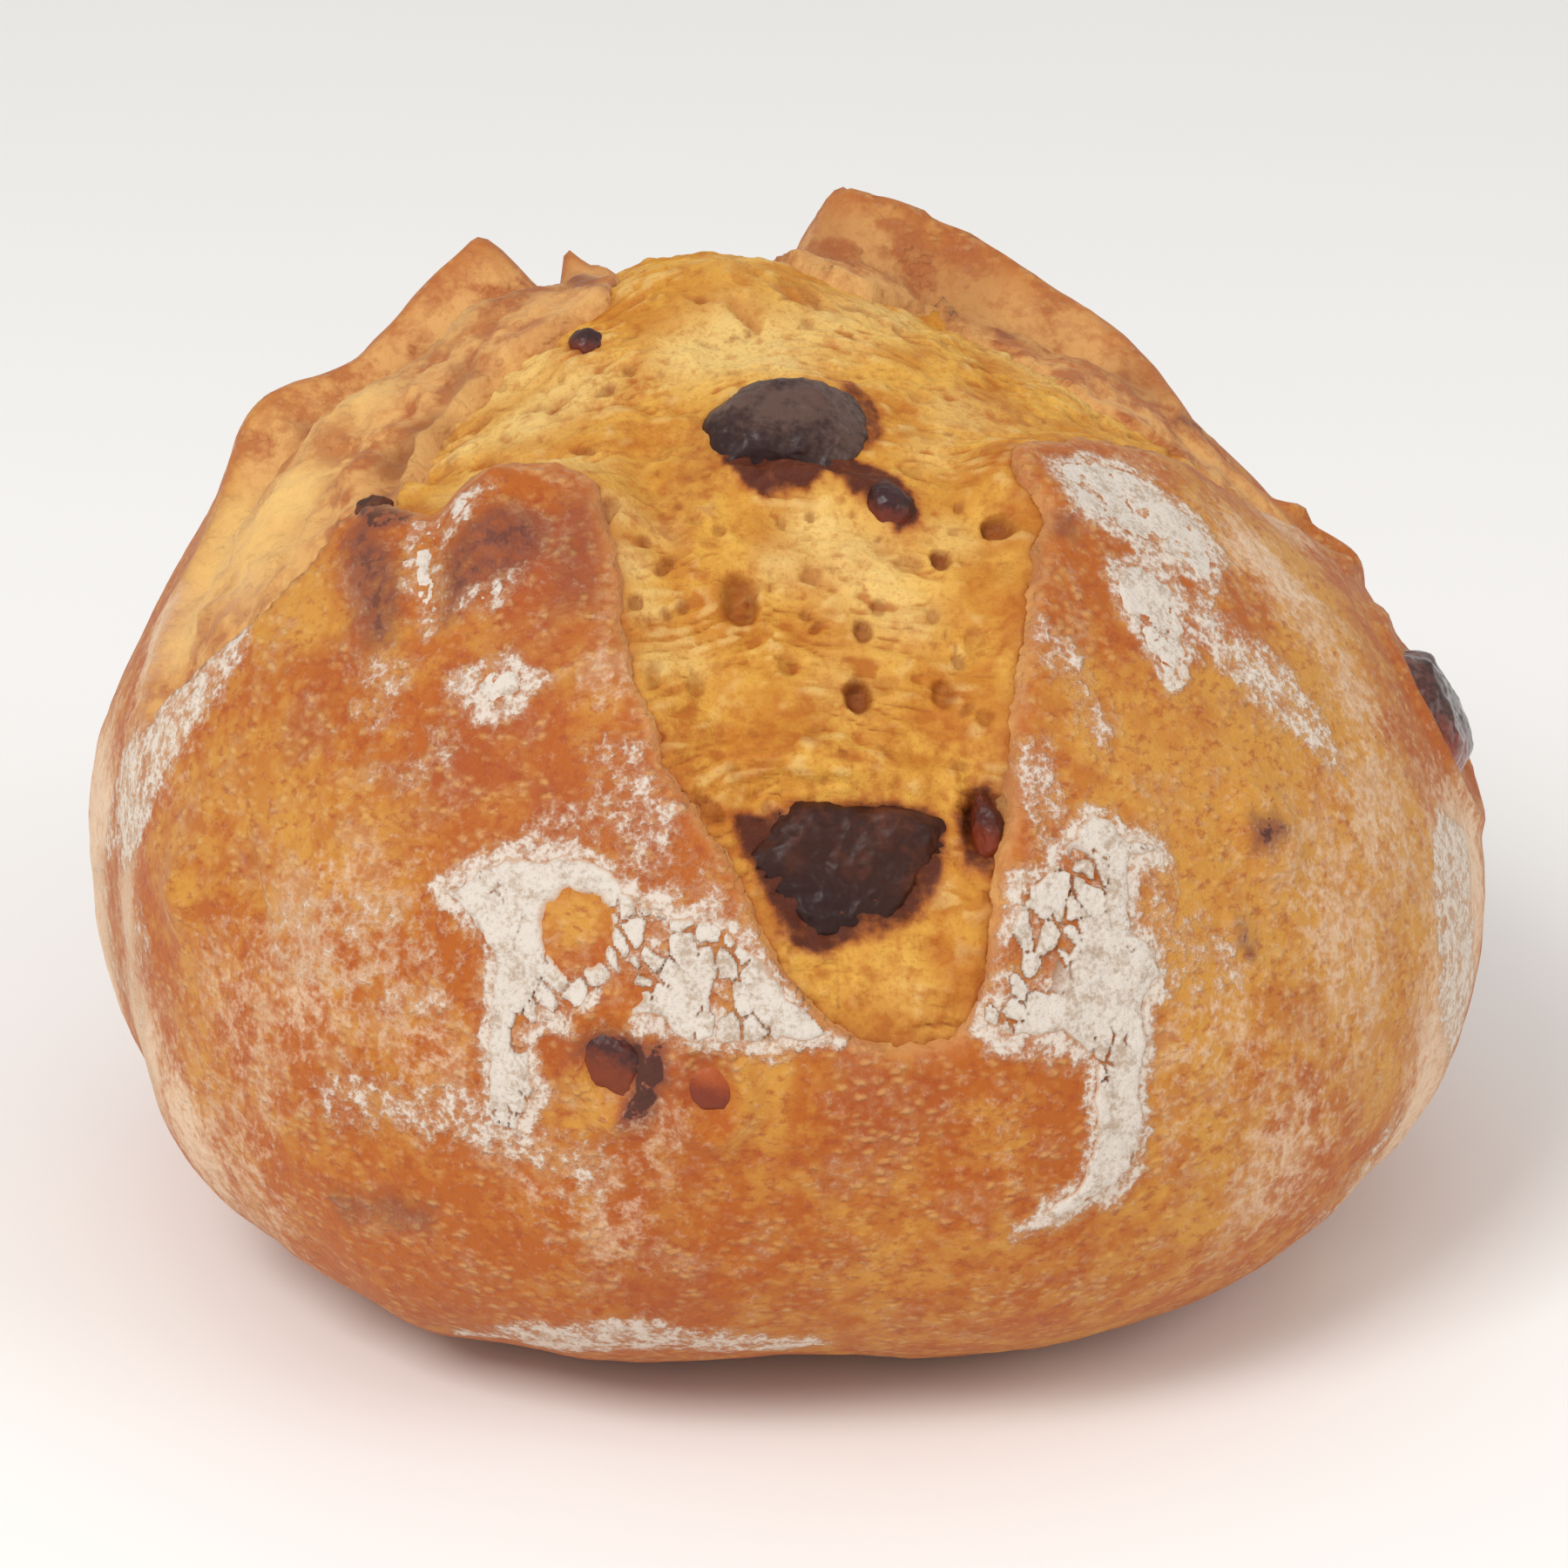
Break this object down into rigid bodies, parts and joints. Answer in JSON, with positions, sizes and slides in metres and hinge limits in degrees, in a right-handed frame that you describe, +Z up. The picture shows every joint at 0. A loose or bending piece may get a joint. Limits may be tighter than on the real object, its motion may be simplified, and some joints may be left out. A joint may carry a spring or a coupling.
{
  "type": "tomato bread",
  "caption": "Round hearth loaf with a cross-scored crust, torn crumb in the opening and pieces of dried tomato.",
  "frame": {"origin": "centre of the flat sole that the loaf rests on", "axes": "+Z up out of the sole, -Y towards the side with the long front arm of the cross, +X to that side's right"},
  "size_m": [0.1503, 0.1498, 0.1036],
  "materials": {
    "crust": "baked crust, dry and slightly rough",
    "tomato": "dried tomato, leathery with a soft sheen"
  },
  "bodies": {
    "root": {"loaf": "crust", "tomato_crown": "tomato", "tomato_crown_side": "tomato", "tomato_front": "tomato", "tomato_front_side": "tomato", "tomato_right": "tomato", "tomato_low_left": "tomato", "tomato_low_middle": "tomato", "tomato_back_left": "tomato", "tomato_rim_left": "tomato", "tomato_right_spot": "tomato", "tomato_back_arm": "tomato", "tomato_back_low": "tomato"}
  },
  "joints": []
}
